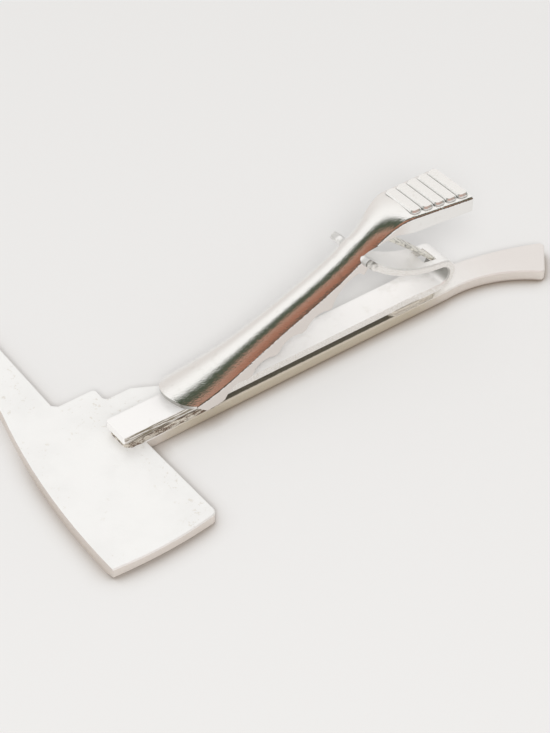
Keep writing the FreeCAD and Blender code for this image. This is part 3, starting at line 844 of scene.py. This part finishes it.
class TIECLIP_OT_stage(bpy.types.Operator):
    """Set the floor, the light and the camera"""

    bl_idname = "tie_clip.stage"
    bl_label = "Stage"

    # Shadow painted beside the clip: millimetres across to its far side and along its handle
    open_levels = (0.38, 1.0)
    far_side = (-1.0, 8.0)
    far_fade = 0.6
    handle_start = (2.0, 12.0)
    head_share = 0.75

    # Room: how far a direction is towards the window, from -1 to 1, and its height
    clutter_detail = 4.0
    clutter_across = 0.12
    clutter_up = 0.05
    beam_levels = (-0.7, -0.3)
    shade_levels = (-0.38, -0.24)
    horizon_levels = (-0.4, -0.2)
    horizon_heights = (0.42, 0.6)
    window_levels = (0.1, 0.3)
    sill_levels = (0.6, 0.95)

    def execute(self, context):
        settings = context.scene.tie_clip.stage
        self.floor(context, settings)
        self.room(context, settings)
        self.key(context, settings)
        self.camera(context, settings)
        context.scene.view_settings.view_transform = "Standard"
        return {"FINISHED"}

    def floor(self, context, settings):
        """Lay the pale floor, with a contact shadow painted right beside the clip, least on its far side
        and beside its head.
        """
        reach = settings.floor_reach
        mesh = bpy.data.meshes.new("floor")
        corners = [(-reach, -reach, 0.0), (reach, -reach, 0.0), (reach, reach, 0.0), (-reach, reach, 0.0)]
        mesh.from_pydata(corners, [], [(0, 1, 2, 3)])
        material, kit = new_material("pale_floor")
        place = kit.millimetres()
        far = kit.part_of(place, "Y").ramp(*self.far_side)
        handle = kit.part_of(place, "X").ramp(*self.handle_start)
        # Painted contact shadow, from how closed in the floor is.
        shade = 1 - kit.open_air(settings.contact_shadow_reach).ramp(*self.open_levels)
        shade = shade * (1 - self.far_fade * far) * (self.head_share + (1 - self.head_share) * handle)
        color = kit.mix(shade, opaque(settings.floor_color), opaque(settings.contact_shadow_color))
        kit.surface({"Base Color": color, "Roughness": 1.0, "Specular IOR Level": 0.0})
        mesh.materials.append(material)
        floor = bpy.data.objects.new("floor", mesh)
        context.scene.collection.objects.link(floor)

    def room(self, context, settings):
        """Light from all around, in a room that only polished metal shows."""
        world = bpy.data.worlds.new("room")
        world.use_nodes = True
        context.scene.world = world
        kit = NodeKit(world.node_tree)
        shown = kit.ray("Is Glossy Ray") - kit.ray("Diffuse Depth")
        color = kit.mix(shown, opaque(settings.sky_color), self.room_color(settings, kit))
        color = kit.mix(kit.ray("Is Camera Ray"), color, opaque(settings.floor_color))
        shader = kit.node("ShaderNodeBackground", None, {"Color": color})
        kit.node("ShaderNodeOutputWorld", None, {"Surface": shader})

    def room_color(self, settings, kit):
        """Give the room's colours: brown wood with a dark foot, a dark ceiling and a window."""
        direction = kit.node("ShaderNodeTexCoord", output="Generated")
        sockets = {0: direction, 1: settings.window_side}
        across = kit.node("ShaderNodeVectorMath", {"operation": "DOT_PRODUCT"}, sockets, "Value")
        clutter = kit.noise(direction, settings.clutter_scale, self.clutter_detail) - NOISE_MIDDLE
        level = across + self.clutter_across * clutter
        height = kit.part_of(direction, "Z") + self.clutter_up * clutter
        beam = level.ramp(*self.beam_levels)
        color = kit.mix(beam, opaque(settings.wood_color), opaque(settings.beam_color))
        color = kit.mix(level.ramp(*self.shade_levels), color, opaque(settings.shade_color))
        horizon = (1 - level.ramp(*self.horizon_levels)) * (1 - height.ramp(*self.horizon_heights))
        color = kit.mix(horizon, color, opaque(settings.horizon_color))
        sill = level.ramp(*self.sill_levels)
        window = kit.mix(sill, opaque(settings.window_color), opaque(settings.sill_color))
        return kit.mix(level.ramp(*self.window_levels), color, window)

    def key(self, context, settings):
        """Hang the soft light behind the camera."""
        light = bpy.data.lights.new("key", "AREA")
        light.energy = settings.key_power
        light.size = settings.key_size
        lamp = bpy.data.objects.new("key", light)
        lamp.visible_glossy = False
        lamp.location = settings.key_place
        aim = Vector(settings.view_target) - lamp.location
        lamp.rotation_euler = aim.to_track_quat("-Z", "Y").to_euler()
        context.scene.collection.objects.link(lamp)

    def camera(self, context, settings):
        """Set the camera where the photograph was taken from."""
        azimuth = settings.view_azimuth
        elevation = settings.view_elevation
        back = Vector((
            math.cos(azimuth) * math.cos(elevation),
            math.sin(azimuth) * math.cos(elevation),
            math.sin(elevation),
        ))
        level = Vector((-math.sin(azimuth), math.cos(azimuth), 0.0))
        turn = Matrix.Rotation(settings.view_roll, 3, back)
        right = turn @ level
        up = turn @ back.cross(level)
        camera = bpy.data.cameras.new("camera")
        camera.sensor_fit = "HORIZONTAL"
        camera.sensor_width = SENSOR_WIDTH
        camera.lens = settings.focal_pixels * SENSOR_WIDTH / IMAGE_WIDTH
        camera.clip_start = NEAREST_SEEN
        rig = bpy.data.objects.new("camera", camera)
        rig.matrix_world = Matrix((right, up, back)).transposed().to_4x4()
        rig.location = Vector(settings.view_target) + back * settings.view_distance
        context.scene.collection.objects.link(rig)
        context.scene.camera = rig


class TIECLIP_PT_sidebar(bpy.types.Panel):
    """List the tie clip's pieces"""

    bl_idname = "TIECLIP_PT_sidebar"
    bl_label = "Tie clip"
    bl_space_type = "VIEW_3D"
    bl_region_type = "UI"
    bl_category = "Tie clip"

    def draw(self, context):
        for operator in OPERATORS:
            self.layout.operator(operator.bl_idname)


OPERATORS = (
    TIECLIP_OT_axe_plate,
    TIECLIP_OT_solder_beds,
    TIECLIP_OT_clip_strip,
    TIECLIP_OT_spring_leaf,
    TIECLIP_OT_jaw,
    TIECLIP_OT_stage,
)
CLASSES = (
    CastPlateSettings,
    PlatedSettings,
    SpringLeafSettings,
    SolderSettings,
    StageSettings,
    TieClipSettings,
) + OPERATORS + (TIECLIP_PT_sidebar,)


def register():
    """Register the classes and their settings."""
    for item in CLASSES:
        bpy.utils.register_class(item)
    bpy.types.Scene.tie_clip = bpy.props.PointerProperty(type=TieClipSettings)


def unregister():
    """Take the settings and the classes out again."""
    del bpy.types.Scene.tie_clip
    for item in reversed(CLASSES):
        bpy.utils.unregister_class(item)


def main():
    """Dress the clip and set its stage."""
    register()
    bpy.ops.tie_clip.axe_plate()
    bpy.ops.tie_clip.solder_beds()
    bpy.ops.tie_clip.clip_strip()
    bpy.ops.tie_clip.spring_leaf()
    bpy.ops.tie_clip.jaw()
    bpy.ops.tie_clip.stage()


if __name__ == "__main__":
    main()
